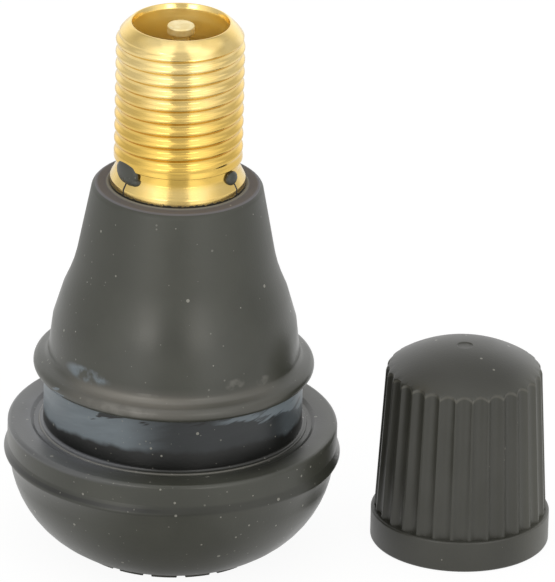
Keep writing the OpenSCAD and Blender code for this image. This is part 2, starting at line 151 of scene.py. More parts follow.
def turned(name, outline, steps, cuts=None):
    """Turns an outline of (radius, height, rounding) corners, in millimetres, about the Z axis.
    cuts says how often the side that follows a corner is divided."""
    corners = [Vector((corner[0], 0, corner[1])) for corner in outline]
    bpy.ops.object.select_all(action="DESELECT")
    bpy.ops.mesh.primitive_circle_add(vertices=len(corners), radius=1)
    piece = bpy.context.object
    piece.name = name
    for vertex, corner in zip(piece.data.vertices, corners):
        vertex.co = corner
    bpy.ops.object.mode_set(mode="EDIT")
    for i, corner in enumerate(outline):
        if len(corner) > 2:
            before = corners[i - 1] - corners[i]
            after = corners[(i + 1) % len(corners)] - corners[i]
            half = before.angle(after) / 2
            pick(piece, lambda place: (place - corners[i]).length < NEAR)
            bpy.ops.mesh.bevel(
                offset_type="OFFSET",
                offset=corner[2] / math.tan(half),
                segments=max(2, round((math.pi - 2 * half) / ROUNDING_STEP)),
                affect="VERTICES",
            )
    for corner, count in (cuts or {}).items():
        start = outline.index(corner)
        ends = corners[start], corners[(start + 1) % len(corners)]
        pick(piece, lambda place: on_side(place, *ends))
        bpy.ops.mesh.subdivide(number_cuts=count)
    pick(piece, lambda place: place.x < NEAR)
    bpy.ops.mesh.delete(type="EDGE")
    bpy.ops.mesh.select_all(action="SELECT")
    bpy.ops.mesh.spin(steps=steps, angle=math.tau, center=(0, 0, 0), axis=(0, 0, 1))
    bpy.ops.mesh.select_all(action="SELECT")
    bpy.ops.mesh.remove_doubles(threshold=NEAR)
    bpy.ops.mesh.normals_make_consistent(inside=False)
    bpy.ops.object.mode_set(mode="OBJECT")
    return piece


def finished(piece, crease):
    """Brings a piece from millimetres to the frame's metres.
    Shades it smooth, up to a crease in degrees."""
    bpy.ops.object.select_all(action="DESELECT")
    piece.select_set(True)
    bpy.context.view_layer.objects.active = piece
    piece.scale = (MM, MM, MM)
    bpy.ops.object.transform_apply(location=True, rotation=True, scale=True)
    bpy.ops.object.shade_smooth_by_angle(angle=math.radians(crease))


thread_pitch = 25.4 / 32
thread_depth = 0.21
thread_crest_z = ring_z + 0.55
crest_flat = 0.1
root_flat = 0.2
run_out_z = ring_z + 0.1
chamfer_bulge = 0.1
lip_edge = 0.01


def smooth(share):
    """A share from 0 to 1, eased at both ends."""
    share = min(max(share, 0), 1)
    return share * share * (3 - 2 * share)


def thread_height(turns):
    """Height of a thread's flank after a number of turns, from 0 at the root to 1 at the crest."""
    wave = abs(2 * (turns % 1) - 1)
    return smooth((wave - root_flat) / (1 - root_flat - crest_flat))


def set_radius(vertex, radius):
    """Moves a vertex straight in or out to a radius."""
    share = radius / math.hypot(vertex.co.x, vertex.co.y)
    vertex.co.x *= share
    vertex.co.y *= share


stem_columns = 144
rows_per_turn = 20
thread_rows = round((thread_top_z - ring_z) / thread_pitch * rows_per_turn)
stem = turned(
    "turned_stem",
    stem_side + stem_top,
    stem_columns,
    {thread_foot: thread_rows, thread_head: rows_per_turn},
)
for vertex in stem.data.vertices:
    blank_r = math.hypot(vertex.co.x, vertex.co.y)
    if blank_r > lip_r + lip_edge and vertex.co.z > ring_z:
        up = max(vertex.co.z - thread_top_z, 0) / (stem_top_z - thread_top_z)
        blank_r += 4 * chamfer_bulge * up * (1 - up)
        turns_round = (math.atan2(vertex.co.y, vertex.co.x) + math.pi / 2) / math.tau
        turns = (vertex.co.z - thread_crest_z) / thread_pitch - turns_round
        run_out = smooth((vertex.co.z - run_out_z) / thread_pitch)
        cut = thread_depth * run_out * (1 - thread_height(turns))
        set_radius(vertex, min(blank_r, thread_r - cut))
finished(stem, crease=42)


def linear(hex_colour):
    """Linear colour from an sRGB hex value."""
    shares = [int(hex_colour[i:i + 2], 16) / 255 for i in (1, 3, 5)]
    return (*(s / 12.92 if s <= 0.04045 else ((s + 0.055) / 1.055) ** 2.4 for s in shares), 1)


def add_node(tree, kind, *inputs, named=None, **settings):
    """Adds a node with its settings, and sets or links its inputs, in order or by name.
    Gives its first output."""
    node = tree.nodes.new("ShaderNode" + kind)
    for option, value in settings.items():
        setattr(node, option, value)
    for key, value in (*enumerate(inputs), *(named or {}).items()):
        if isinstance(value, bpy.types.NodeSocket):
            tree.links.new(value, node.inputs[key])
        else:
            node.inputs[key].default_value = value
    return node.outputs[0] if node.outputs else node


def new_finish(name):
    """A new material: its node tree, its shader and the piece's own coordinates in millimetres."""
    material = bpy.data.materials.new(name)
    material.use_nodes = True
    tree = material.node_tree
    coords = add_node(tree, "TexCoord").node.outputs["Object"]
    place = add_node(tree, "VectorMath", coords, named={"Scale": 1 / MM}, operation="SCALE")
    return material, tree, tree.nodes["Principled BSDF"], place


# Free-cutting brass, turned bright: pale yellow, with fine rings from the tool. The bore is painted paler,
# as painted light. Above the collar it is painted a deeper gold, as a painted reflection of brass in brass.
# Rubber is left on it as a dark smear where the mould closed, and as two thin strands.
EASED = {"interpolation_type": "SMOOTHSTEP"}
brass, tree, shader, place = new_finish("turned_brass")
tool_ring_mm = 0.09
ring_drift = 0.2
ring_scale = (ring_drift, ring_drift, 1 / tool_ring_mm)
rings = add_node(tree, "Mapping", place, named={"Scale": ring_scale})
ring_noise = add_node(tree, "TexNoise", rings, named={"Scale": 1.0, "Detail": 2.0})
tone_mm = 2.5
tone = add_node(tree, "TexNoise", place, named={"Scale": 1 / tone_mm, "Detail": 3.0})
tone = add_node(tree, "MapRange", tone, 0.35, 0.65, **EASED)
pale_brass = add_node(tree, "MixRGB", tone, linear("#e0c279"), linear("#ead08e"))
axes = add_node(tree, "SeparateXYZ", place).node.outputs
height = axes["Z"]
# Painted reflection: the lower threads are painted a deeper gold, fading out upwards and weaker at the
# collar
gold_reflection_top_z = rubber_top_z + 8.5
gold_reflection_full_z = rubber_top_z + 3.0
gold_reflection_foot_z = rubber_top_z + 1.3
collar_reflection_z = rubber_top_z + 0.8
gold_reflection = add_node(tree, "MapRange", height, gold_reflection_top_z, gold_reflection_full_z, 0.0, 0.9, **EASED)
gold_reflection_foot = add_node(tree, "MapRange", height, collar_reflection_z, gold_reflection_foot_z, 0.3, 1.0, **EASED)
gold_reflection = add_node(tree, "Math", gold_reflection, gold_reflection_foot, operation="MULTIPLY")
brass_colour = add_node(tree, "MixRGB", gold_reflection, pale_brass, linear("#dcb658"))
flat_place = add_node(tree, "Mapping", place, named={"Scale": (1, 1, 0)})
from_axis = add_node(tree, "VectorMath", flat_place, operation="LENGTH").node.outputs["Value"]
# Painted light: inside the mouth the brass is painted paler, so the bore looks brighter
bore_edge = 0.05
in_bore = add_node(tree, "MapRange", from_axis, mouth_r + bore_edge, mouth_r - bore_edge, **EASED)
brass_colour = add_node(tree, "MixRGB", in_bore, brass_colour, linear("#f8e296"))
smear_mm = 0.22
smear_wave = 0.3
smear_top_z = rubber_top_z - 0.02
smear_full_z = rubber_top_z - 0.12
smear_noise = add_node(tree, "TexNoise", place, named={"Scale": 1 / smear_mm, "Detail": 2.0})
smear_edge = add_node(tree, "Math", smear_noise, -smear_wave, height, operation="MULTIPLY_ADD")
smear = add_node(tree, "MapRange", smear_edge, smear_top_z, smear_full_z, **EASED)
front = add_node(tree, "Math", axes["Y"], -1.0, operation="MULTIPLY")
angle = add_node(tree, "Math", axes["X"], front, operation="ARCTAN2")
angle = add_node(tree, "Math", angle, operation="DEGREES")
strand_top_z = rubber_top_z + 1.1
strand_full_z = rubber_top_z + 0.9
strand_half = 1.0
strand_low = add_node(tree, "MapRange", height, strand_top_z, strand_full_z, **EASED)
for strand_angle in (-52.0, 61.0):
    strand = add_node(tree, "Math", angle, strand_angle, strand_half, operation="COMPARE")
    strand = add_node(tree, "Math", strand, strand_low, operation="MULTIPLY")
    smear = add_node(tree, "Math", smear, strand, operation="MAXIMUM")
brass_colour = add_node(tree, "MixRGB", smear, brass_colour, linear("#2b2820"))
tree.links.new(brass_colour, shader.inputs["Base Color"])
bare = add_node(tree, "Math", 1.0, smear, operation="SUBTRACT")
tree.links.new(bare, shader.inputs["Metallic"])
brass_rough = add_node(tree, "MapRange", ring_noise, 0.3, 0.7, 0.13, 0.24, **EASED)
bore_dull = 0.24
smear_dull = 0.3
brass_rough = add_node(tree, "Math", in_bore, bore_dull, brass_rough, operation="MULTIPLY_ADD")
brass_rough = add_node(tree, "Math", smear, smear_dull, brass_rough, operation="MULTIPLY_ADD")
tree.links.new(brass_rough, shader.inputs["Roughness"])
ring_relief = {"Height": ring_noise, "Strength": 0.12, "Distance": 0.01 * MM}
ring_bump = add_node(tree, "Bump", named=ring_relief)
tree.links.new(ring_bump, shader.inputs["Normal"])
stem.data.materials.append(brass)
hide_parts("stem")
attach(stem, "valve_body")


# Rubber body.
# One moulding of black rubber, bonded to the stem. Its base seals against the wheel from inside, and
# its bead snaps out through the hole. The mould parts round the base and leaves a ledge there.
stand_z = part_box("rubber_body")[0].z / MM
base_r = 10.14
pad_h = 0.25
under_z = stand_z + pad_h
underside_r = 6.09
pad_out_r = underside_r - 0.23
pad_in_r = pad_out_r - 1.1
pad_count = 18
pad_share = 12 / 16
pad_edge = 0.08
bowl_arc_r = 6.5
bowl_r = 9.74
parting_z = -1.35
ridge_z = parting_z - 0.57
bowl_z = ridge_z - 0.7
rim_r = 9.92
bead_r = 8.43
bead_arc_r = 0.45
bead_slope = math.radians(73)
seat_in_r = bead_r + 0.04
seat_groove_z = -0.15
neck_r = mount("rim_groove")["dims"]["r_mm"]
neck_h = mount("rim_groove")["dims"]["length_mm"]
neck_step_r = neck_r + 0.29
neck_step_z = -0.05
bell_r = 7.54
bell_foot_h = 0.32
bell_arc_r = 9.7
bell_slope = math.radians(23.4)
throat_arc_r = 7
cone_slope = math.radians(10.5)
top_r = 5.08
top_edge = 0.4
lip_w = 0.26
bond = 0.01


def arc(centre, radius, start, end, step=6):
    """Points of an arc from one angle to another, in degrees."""
    count = max(2, math.ceil(abs(end - start) / step))
    angles = [math.radians(start + (end - start) * i / count) for i in range(count + 1)]
    return [(centre[0] + radius * math.cos(a), centre[1] + radius * math.sin(a)) for a in angles]


def bulge(start, end, radius):
    """Points of an arc of that radius that bulges to the right on its way."""
    start, end = Vector(start), Vector(end)
    way = end - start
    left = Vector((-way.y, way.x)).normalized()
    centre = (start + end) / 2 + left * math.sqrt(radius**2 - way.length_squared / 4)
    first = math.degrees(math.atan2(start.y - centre.y, start.x - centre.x))
    return arc(centre, radius, first, first + 2 * math.degrees(math.asin(way.length / 2 / radius)))


bead_centre_r = bead_r - bead_arc_r
bead_centre_z = neck_h + bead_arc_r
bead_end_r = bead_centre_r + bead_arc_r * math.cos(bead_slope)
bead_end_z = bead_centre_z + bead_arc_r * math.sin(bead_slope)
hollow_z = bead_end_z + (bead_end_r - bell_r) / math.tan(bead_slope)
bell_corner_z = hollow_z + bell_foot_h + bell_arc_r * math.tan(bell_slope / 2)
throat_rise = bell_r + math.tan(bell_slope) * bell_corner_z - top_r - math.tan(cone_slope) * rubber_top_z
throat_z = throat_rise / (math.tan(bell_slope) - math.tan(cone_slope))
throat_r = top_r + math.tan(cone_slope) * (rubber_top_z - throat_z)
rubber_outline = [
    (inlet_r, under_z),
    (pad_in_r, under_z),
    (pad_out_r, under_z),
    *bulge((underside_r, under_z), (bowl_r, bowl_z), bowl_arc_r),
    (base_r, ridge_z, 0.2),
    (rim_r, parting_z, 0.05),
    (rim_r, 0, 0.25),
    (seat_in_r + 0.1, 0, 0.15),
    (seat_in_r - 0.12, seat_groove_z, 0.06),
    (neck_step_r, seat_groove_z, 0.02),
    (neck_step_r, neck_step_z, 0.09),
    (neck_r, neck_step_z, 0.15),
    (neck_r, neck_h, 0.1),
    *arc((bead_centre_r, bead_centre_z), bead_arc_r, -90, math.degrees(bead_slope)),
    (bell_r, hollow_z, 0.4),
    (bell_r, bell_corner_z, bell_arc_r),
    (throat_r, throat_z, throat_arc_r),
    (top_r, rubber_top_z - 0.08, top_edge),
    (collar_r + lip_w, rubber_top_z - 0.1, 0.06),
    (collar_r + lip_w / 2, rubber_top_z, 0.05),
    (collar_r + bond, rubber_top_z - 0.06),
    *((corner[0] + bond, corner[1]) for corner in reversed(stem_side)),
]
columns = 16 * pad_count
rubber = turned("rubber_moulding", rubber_outline, columns)


def azimuth(place):
    """Angle of a place round the stem, in degrees, from the front and positive to the right."""
    return math.degrees(math.atan2(place.x, -place.y))


# Raised pads under the base, on which it stands
bpy.ops.object.mode_set(mode="EDIT")
bpy.ops.mesh.select_all(action="DESELECT")
mesh = bmesh.from_edit_mesh(rubber.data)
for face in mesh.faces:
    centre = face.calc_center_median()
    along = (math.atan2(centre.y, centre.x) / math.tau * pad_count) % 1
    in_ring = pad_in_r < math.hypot(centre.x, centre.y) < pad_out_r
    face.select_set(in_ring and abs(centre.z - under_z) < NEAR and along < pad_share)
bmesh.update_edit_mesh(rubber.data)
bpy.ops.mesh.extrude_region_move(TRANSFORM_OT_translate={"value": (0, 0, -pad_h)})
bpy.ops.mesh.region_to_loop()
bpy.ops.mesh.bevel(offset=pad_edge, segments=2, affect="EDGES")
bpy.ops.object.mode_set(mode="OBJECT")

# The mould halves meet flush at the front right, and the ridge stands out elsewhere
flush_azimuth = 20
flush_width = 45
flush_in_r = bowl_r - 0.1
flush_low_z = bowl_z - 0.3
flush_high_z = parting_z + 0.3
for vertex in rubber.data.vertices:
    radius = math.hypot(vertex.co.x, vertex.co.y)
    if radius > flush_in_r and flush_low_z < vertex.co.z < flush_high_z:
        share = smooth(1 - abs(azimuth(vertex.co) - flush_azimuth) / flush_width)
        flush_r = bowl_r + (rim_r - bowl_r) * smooth((vertex.co.z - bowl_z) / (parting_z - bowl_z))
        set_radius(vertex, radius + (flush_r - radius) * share)


def flash(name, angle, z, across, up, proud, base):
    """A drop of rubber that squeezed out along the brass, at an angle round the stem."""
    turn = math.radians(angle)
    bpy.ops.object.select_all(action="DESELECT")
    bpy.ops.mesh.primitive_uv_sphere_add(segments=24, ring_count=14, radius=1)
    drop = bpy.context.object
    drop.name = name
    drop.scale = (across / 2, proud, up / 2)
    drop.rotation_euler = (0, 0, turn)
    drop.location = (base * math.sin(turn), -base * math.cos(turn), z)
    bpy.ops.object.transform_apply(location=True, rotation=True, scale=True)
    return drop


flash_drops = [
    flash("flash_left", -54, rubber_top_z + 1.38, 2.1, 1.65, 0.3, relief_r),
    flash("flash_left_mid", -48, rubber_top_z + 1.1, 1.3, 0.95, 0.32, relief_r),
    flash("flash_left_low", -43, rubber_top_z + 1.0, 0.9, 0.6, 0.3, relief_r),
    flash("flash_right", 59, rubber_top_z + 1.06, 1.1, 0.9, 0.3, relief_r + 0.05),
]
bpy.ops.object.select_all(action="DESELECT")
for drop in flash_drops:
    drop.select_set(True)
rubber.select_set(True)
bpy.context.view_layer.objects.active = rubber
bpy.ops.object.join()
finished(rubber, crease=38)

# Moulded black rubber: a warm dark grey with a soft sheen and specks of dust. The neck is painted dark as
# painted shade. Mounting paste has dried there as a blue-grey film with ragged wisps, and above as pale
# marks.
rubber_finish, tree, shader, place = new_finish("moulded_rubber")
axes = add_node(tree, "SeparateXYZ", place).node.outputs
height = axes["Z"]
front = add_node(tree, "Math", axes["Y"], -1.0, operation="MULTIPLY")
angle = add_node(tree, "Math", axes["X"], front, operation="ARCTAN2")
angle = add_node(tree, "Math", angle, operation="DEGREES")
flat_place = add_node(tree, "Mapping", place, named={"Scale": (1, 1, 0)})
from_axis = add_node(tree, "VectorMath", flat_place, operation="LENGTH").node.outputs["Value"]
cloud_mm = 3.5
cloud = add_node(tree, "TexNoise", place, named={"Scale": 1 / cloud_mm, "Detail": 4.0})
cloud = add_node(tree, "MapRange", cloud, 0.3, 0.7, **EASED)
grain_mm = 0.16
grain = add_node(tree, "TexNoise", place, named={"Scale": 1 / grain_mm, "Detail": 2.0})
rubber_colour = add_node(tree, "MixRGB", cloud, linear("#44453d"), linear("#4b4c44"))


def inside(tree, strength, *edges):
    """A strength that holds inside all the edges: each is a value, where it starts and where it is full."""
    for value, start, full in edges:
        share = add_node(tree, "MapRange", value, start, full, **EASED)
        strength = add_node(tree, "Math", strength, share, operation="MULTIPLY")
    return strength


# Painted shade: the neck is painted near black under the bead, down to the flange
neck_shade_edge = 0.2
neck_shade = inside(
    tree,
    1.0,
    (height, -neck_shade_edge, neck_shade_edge / 2),
    (height, neck_h + neck_shade_edge, neck_h - neck_shade_edge),
    (from_axis, neck_step_r, neck_step_r - 0.15),
)
rubber_colour = add_node(tree, "MixRGB", neck_shade, rubber_colour, linear("#10110f"))

# Dust and painted light pale the front of the bead, most of it left of the middle, and painted light fills
# the hollow above it
bead_dust_and_light_share = 0.75
hollow_fill_light = 0.4
dust_and_light_azimuth = -17.0
turned_away = add_node(tree, "Math", angle, operation="ABSOLUTE")
off_dust_and_light = add_node(tree, "Math", angle, dust_and_light_azimuth, operation="SUBTRACT")
off_dust_and_light = add_node(tree, "Math", off_dust_and_light, operation="ABSOLUTE")
dust_and_light_side = add_node(tree, "MapRange", off_dust_and_light, 40.0, 5.0, 0.4, 1.1, **EASED)
dust_and_light_side = inside(tree, dust_and_light_side, (turned_away, 62.0, 42.0))
bead_dust_and_light = inside(
    tree,
    bead_dust_and_light_share,
    (height, neck_h + 0.1, neck_h + 0.5),
    (height, neck_h + 2.0, neck_h + 1.0),
)
bead_dust_and_light = add_node(tree, "Math", bead_dust_and_light, dust_and_light_side, operation="MULTIPLY")
rubber_colour = add_node(tree, "MixRGB", bead_dust_and_light, rubber_colour, linear("#74716a"))
# Painted light: the hollow above the bead is painted pale where shade falls
crease = inside(
    tree,
    hollow_fill_light,
    (height, hollow_z - 0.22, hollow_z - 0.08),
    (height, hollow_z + 0.5, hollow_z + 0.1),
)
crease = add_node(tree, "Math", crease, dust_and_light_side, operation="MULTIPLY")
rubber_colour = add_node(tree, "MixRGB", crease, rubber_colour, linear("#98948a"))

# A pale grey painted sheen lies on the flange at the left, and the flange is painted darker at the right.
# A painted highlight lies along the edge of the neck's step.
flange_foot = (height, -0.4, -0.2)
flange_top = (height, 0.2, 0.05)
front_part = (turned_away, 155.0, 100.0)
sheen_left = (angle, -4.0, -42.0)
flange_sheen = add_node(tree, "MapRange", from_axis, rim_r - 0.7, seat_in_r, 0.42, 0.72, **EASED)
flange_sheen = inside(tree, flange_sheen, flange_foot, flange_top, sheen_left, front_part)
rubber_colour = add_node(tree, "MixRGB", flange_sheen, rubber_colour, linear("#7d7f84"))
# The flange is painted darker on its right side
right_dark_share = 0.6
right_dark_front = (angle, 15.0, 40.0)
right_dark_back = (angle, 120.0, 90.0)
right_dark_out = (from_axis, rim_r - 0.3, neck_step_r + 0.6)
flange_right_dark = inside(tree, right_dark_share, right_dark_front, right_dark_back, right_dark_out, flange_foot, flange_top)
rubber_colour = add_node(tree, "MixRGB", flange_right_dark, rubber_colour, linear("#1f201c"))
# Painted highlight along the edge of the neck's step, strong at the left and front, faint at the right
step_in = (from_axis, neck_step_r - 0.12, neck_step_r - 0.06)
step_out = (from_axis, neck_step_r + 0.1, neck_step_r + 0.02)
step_foot = (height, seat_groove_z, seat_groove_z + 0.05)
step = add_node(tree, "MapRange", angle, 25.0, 60.0, 0.6, 0.06, **EASED)
step = inside(tree, step, step_in, step_out, step_foot, flange_top)
rubber_colour = add_node(tree, "MixRGB", step, rubber_colour, linear("#8a8880"))

# Painted shade darkens the ledge where the mould parts, and a line of painted shade runs below the parting
# from the left side to the front
ledge_shade_share = 0.45
ledge_foot = (height, ridge_z - 0.15, ridge_z + 0.05)
ledge_top = (height, parting_z + 0.1, parting_z - 0.15)
ledge_shade = inside(tree, ledge_shade_share, ledge_foot, ledge_top)
rubber_colour = add_node(tree, "MixRGB", ledge_shade, rubber_colour, linear("#282923"))
corner_shade_share = 0.75
line_foot = (height, parting_z - 0.5, parting_z - 0.38)
line_top = (height, parting_z - 0.14, parting_z - 0.26)
line_left = (angle, 8.0, -16.0)
corner_shade = inside(tree, corner_shade_share, line_foot, line_top, line_left, front_part)
rubber_colour = add_node(tree, "MixRGB", corner_shade, rubber_colour, linear("#171714"))

# The flat round the collar is painted a paler purple-grey and is dull. Painted highlights lie on its
# outer edge and on its lip
flat_foot = (height, rubber_top_z - 0.16, rubber_top_z - 0.12)
flat_top = (height, rubber_top_z + 0.2, rubber_top_z + 0.1)
flat_out = (from_axis, top_r - 0.1, top_r - 0.3)
collar_flat = inside(tree, 1.0, flat_foot, flat_top, flat_out)
rubber_colour = add_node(tree, "MixRGB", collar_flat, rubber_colour, linear("#6c6867"))
# Painted highlight on the rounded outer edge of the flat
edge_highlight_share = 0.6
edge_in = (from_axis, top_r - 0.34, top_r - 0.26)
edge_out = (from_axis, top_r - 0.1, top_r - 0.16)
edge_foot = (height, rubber_top_z - 0.4, rubber_top_z - 0.3)
edge = inside(tree, edge_highlight_share, edge_in, edge_out, edge_foot, flat_top)
rubber_colour = add_node(tree, "MixRGB", edge, rubber_colour, linear("#84838a"))
# Painted highlight on the lip next to the collar
lip_foot = (height, rubber_top_z - 0.1, rubber_top_z - 0.04)
lip_top = (height, rubber_top_z + 0.1, rubber_top_z + 0.05)
lip_highlight = inside(tree, 1.0, lip_foot, lip_top)
rubber_colour = add_node(tree, "MixRGB", lip_highlight, rubber_colour, linear("#8a867a"))


def specks(tree, place, spacing_mm, chosen, size_mm):
    """Specks of dust: one in some of the cells of that spacing, each of its own size."""
    cells = add_node(tree, "TexVoronoi", place, named={"Scale": 1 / spacing_mm}).node.outputs
    chance = add_node(tree, "SeparateColor", cells["Color"]).node.outputs
    taken = add_node(tree, "Math", chance[0], chosen, operation="LESS_THAN")
    reach = add_node(tree, "Math", chance[1], size_mm / spacing_mm, operation="MULTIPLY")
    near = add_node(tree, "Math", cells["Distance"], reach, operation="LESS_THAN")
    return add_node(tree, "Math", taken, near, operation="MULTIPLY")


dust_share = 0.65
fine_share = 0.45
settled = add_node(tree, "MapRange", height, 9.0, -1.0, 0.3, 0.65, **EASED)
fine_dust = specks(tree, place, spacing_mm=0.42, chosen=settled, size_mm=0.07)
dust = specks(tree, place, spacing_mm=0.75, chosen=settled, size_mm=0.11)
fine_dust = add_node(tree, "Math", fine_dust, fine_share, operation="MULTIPLY")
dust = add_node(tree, "Math", dust, fine_dust, operation="MAXIMUM")

# The film is whole on the left, where its top edge is torn into tongues under the bead. On the right
# it thins to a haze below one bright streak. It ends towards the back.
wisp_mm = 1.5
wisp_flat = 2.6
wisp_lean = -1.1
wisp_height = add_node(tree, "Math", height, wisp_flat / wisp_mm, operation="MULTIPLY")
wisp_angle = add_node(tree, "Math", angle, math.radians(neck_r) / wisp_mm, operation="MULTIPLY")
wisp_angle = add_node(tree, "Math", wisp_height, wisp_lean, wisp_angle, operation="MULTIPLY_ADD")
wisp_place = add_node(tree, "CombineXYZ", wisp_angle, wisp_height)
wisp = add_node(tree, "TexNoise", wisp_place, named={"Scale": 1.0, "Detail": 3.0})
scallop_mm = 1.3
scallop_depth = 0.6
scallop = add_node(tree, "TexNoise", place, named={"Scale": 1 / scallop_mm, "Detail": 2.0})
film_foot_z = 1.22
film_low = add_node(tree, "Math", scallop, scallop_depth, height, operation="MULTIPLY_ADD")
for start, end in ((-42.0, -60.0), (46.0, 62.0)):
    film_drop = add_node(tree, "MapRange", angle, start, end, 0.0, 0.4, **EASED)
    film_low = add_node(tree, "Math", film_low, film_drop, operation="ADD")
film_foot = (film_low, film_foot_z + 0.12, film_foot_z + 0.52)
tongue_depth = 2.4
film_rise = add_node(tree, "MapRange", angle, -62.0, -30.0, -0.45, 0.0, **EASED)
film_high = add_node(tree, "Math", wisp, tongue_depth, height, operation="MULTIPLY_ADD")
film_high = add_node(tree, "Math", film_high, film_rise, operation="ADD")
film_top = (film_high, neck_h + 1.05, neck_h + 0.92)
thin_reach = 14.0
film = add_node(tree, "Math", wisp, thin_reach, angle, operation="MULTIPLY_ADD")
film = add_node(tree, "MapRange", film, -20.0, 9.0, 1.0, 0.1, **EASED)
film_right = add_node(tree, "MapRange", angle, 50.0, 64.0, 0.0, 0.3, **EASED)
film = add_node(tree, "Math", film, film_right, operation="ADD")
film = inside(tree, film, film_foot, film_top)
streak_low = add_node(tree, "Math", wisp, height, operation="ADD")
for start, end, drop in ((30.0, 46.0, 0.5), (56.0, 80.0, 0.7)):
    streak_drop = add_node(tree, "MapRange", angle, start, end, 0.0, drop, **EASED)
    streak_low = add_node(tree, "Math", streak_low, streak_drop, operation="ADD")
streak_foot = (streak_low, neck_h - 0.05, neck_h + 0.15)
streak_top = (height, neck_h, neck_h - 0.06)
streak_left = (angle, 14.0, 30.0)
streak = add_node(tree, "MapRange", wisp, 0.37, 0.46, 0.4, 1.0, **EASED)
streak = inside(tree, streak, streak_foot, streak_top, streak_left)
film = add_node(tree, "Math", film, streak, operation="MAXIMUM")
film = inside(tree, film, front_part)


def patch(tree, angle, height, at, half, noise):
    """A mark round a place given as (angle, height), broken up by noise."""
    across = add_node(tree, "MapRange", angle, at[0] - half[0], at[0] + half[0], -1.0, 1.0, clamp=False)
    up = add_node(tree, "MapRange", height, at[1] - half[1], at[1] + half[1], -1.0, 1.0, clamp=False)
    square = add_node(tree, "Math", across, across, operation="MULTIPLY")
    square = add_node(tree, "Math", up, up, square, operation="MULTIPLY_ADD")
    return inside(tree, 1.0, (square, 1.0, 0.2), (noise, 0.36, 0.64))


blot_mm = 0.7
blot = add_node(tree, "TexNoise", place, named={"Scale": 1 / blot_mm, "Detail": 3.0})
bell_film = patch(tree, angle, height, (-44, 5.1), (16, 0.55), blot)
film = add_node(tree, "Math", film, bell_film, operation="MAXIMUM")
pale_share = 0.45
pale = 0.0
for at, half in (
    ((30, 5.2), (6, 0.4)),
    ((46, 4.95), (5, 0.35)),
    ((-11, 4.75), (9, 0.12)),
    ((-22, 3.9), (20, 0.4)),
):
    pale = add_node(tree, "Math", pale, patch(tree, angle, height, at, half, blot), operation="MAXIMUM")
film_tone = add_node(tree, "MapRange", angle, 30.0, 60.0, 0.0, 0.5, **EASED)
film_tone = add_node(tree, "Math", film_tone, wisp, operation="ADD", use_clamp=True)
film_colour = add_node(tree, "MixRGB", film_tone, linear("#6c757b"), linear("#8b969d"))
rubber_colour = add_node(tree, "MixRGB", film, rubber_colour, film_colour)
pale = add_node(tree, "Math", pale, pale_share, operation="MULTIPLY")
rubber_colour = add_node(tree, "MixRGB", pale, rubber_colour, linear("#8d8b83"))
dust = add_node(tree, "Math", dust, dust_share, operation="MULTIPLY")
rubber_colour = add_node(tree, "MixRGB", dust, rubber_colour, linear("#b5b3a8"))
tree.links.new(rubber_colour, shader.inputs["Base Color"])
rubber_rough = add_node(tree, "MapRange", cloud, 0.0, 1.0, 0.28, 0.36)
cone = inside(tree, 1.0, (height, 7.5, 11.0))
for dull_part, dull in ((cone, 0.13), (film, 0.1), (collar_flat, 0.4)):
    rubber_rough = add_node(tree, "Math", dull_part, dull, rubber_rough, operation="MULTIPLY_ADD")
tree.links.new(rubber_rough, shader.inputs["Roughness"])
grain_relief = {"Height": grain, "Strength": 0.25, "Distance": 0.02 * MM}
grain_bump = add_node(tree, "Bump", named=grain_relief)
tree.links.new(grain_bump, shader.inputs["Normal"])
rubber.data.materials.append(rubber_finish)
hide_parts("rubber_body")
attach(rubber, "valve_body")


# Core barrel, plug, pin and cup.
# The valve core is turned brass too, deeper and duller than the stem, and pale and matt on the pin. The
# plug screws into the stem, the barrel hangs in it and swivels, and the pin runs through to the cup.
for nodes, finish, dark, light, shiny, dull in (
    (("core_barrel", "core_plug", "plunger_cup"), "core_brass", "#c79a48", "#dcb76a", 0.26, 0.4),
    (("core_pin",), "pale_pin_brass", "#ecd9a2", "#f6e8bc", 0.5, 0.62),
):
    core_finish, tree, shader, place = new_finish(finish)
    rings = add_node(tree, "Mapping", place, named={"Scale": ring_scale})
    ring_noise = add_node(tree, "TexNoise", rings, named={"Scale": 1.0, "Detail": 2.0})
    core_tone_mm = 0.5
    tone = add_node(tree, "TexNoise", place, named={"Scale": 1 / core_tone_mm, "Detail": 3.0})
    tone = add_node(tree, "MapRange", tone, 0.35, 0.65, **EASED)
    core_colour = add_node(tree, "MixRGB", tone, linear(dark), linear(light))
    tree.links.new(core_colour, shader.inputs["Base Color"])
    shader.inputs["Metallic"].default_value = 1.0
    core_rough = add_node(tree, "MapRange", ring_noise, 0.3, 0.7, shiny, dull, **EASED)
    tree.links.new(core_rough, shader.inputs["Roughness"])
    for node in nodes:
        frame["nodes"][node].material_slots[0].material = core_finish


# Gasket and seal.
# Both are cut rings: a red cone that closes on the stem's seat, and a black washer in the cup.
# Soft and matt, with a faint grain.
for node, finish, dark, light in (
    ("barrel_gasket", "red_gasket", "#8e2018", "#b0352a"),
    ("seat_seal", "black_seal", "#202020", "#2c2b29"),
):
    ring_finish, tree, shader, place = new_finish(finish)
    grain = add_node(tree, "TexNoise", place, named={"Scale": 1 / grain_mm, "Detail": 3.0})
    ring_colour = add_node(tree, "MixRGB", grain, linear(dark), linear(light))
    tree.links.new(ring_colour, shader.inputs["Base Color"])
    ring_rough = add_node(tree, "MapRange", grain, 0.3, 0.7, 0.5, 0.65, **EASED)
    tree.links.new(ring_rough, shader.inputs["Roughness"])
    frame["nodes"][node].material_slots[0].material = ring_finish


